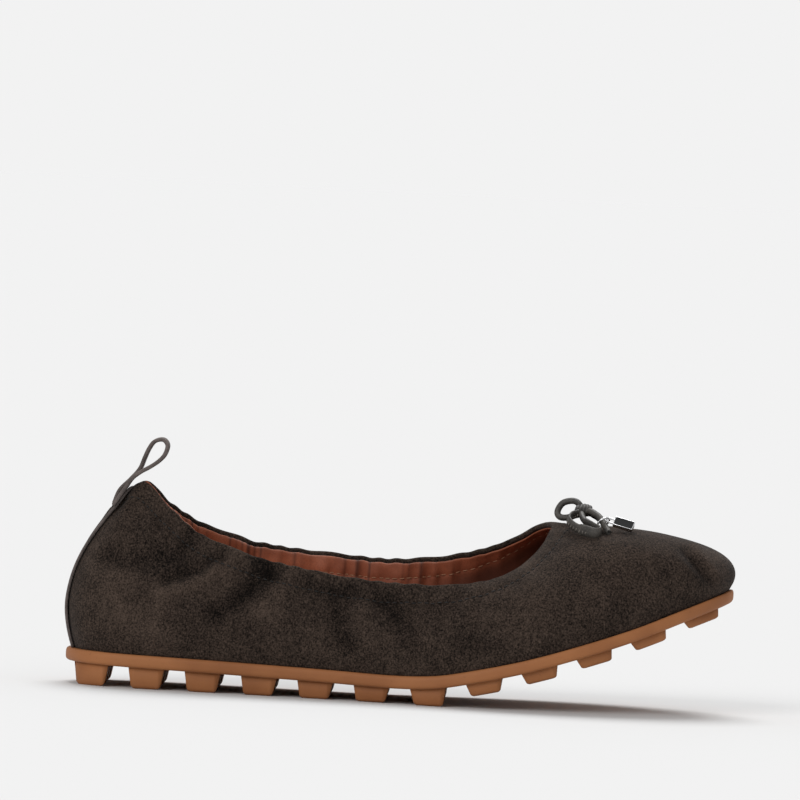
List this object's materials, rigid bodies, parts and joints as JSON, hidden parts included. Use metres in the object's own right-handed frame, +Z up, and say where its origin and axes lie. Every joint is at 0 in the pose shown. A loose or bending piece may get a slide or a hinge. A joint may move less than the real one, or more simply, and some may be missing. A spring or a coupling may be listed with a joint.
{
  "type": "ballet flat",
  "caption": "Right ballet flat in dark brown suede with a gathered collar, heel pull loop, cord bow with a small plain charm, and a studded tan rubber sole",
  "frame": {"origin": "centre of the shoe's plan outline, on the floor under the studs", "axes": "+X towards the toe, +Y towards the inner side of the foot, +Z up"},
  "size_m": [0.2484, 0.0796, 0.0926],
  "materials": {
    "sole_rubber": "matt natural tan rubber",
    "lining_leather": "smooth tan-brown lining leather",
    "suede": "dark brown suede with a fine nap",
    "tape_leather": "grey-brown leather strip, low sheen",
    "cord_leather": "grey-brown rolled leather cord, stitched along its seam",
    "silver": "polished silver-coloured metal"
  },
  "bodies": {
    "shoe": {"outsole": "sole_rubber", "insole": "lining_leather", "upper": "suede", "heel_tape": "tape_leather", "bow_cord": "cord_leather", "charm_ring": "silver"},
    "charm": {"charm": "silver"}
  },
  "joints": [
    {"name": "charm_swing", "type": "hinge", "parent": "shoe", "child": "charm", "pos_m": [0.07654, -0.00847, 0.07096], "axis": [0, -0.7863, 0.6178], "range_deg": [0, 100]}
  ]
}
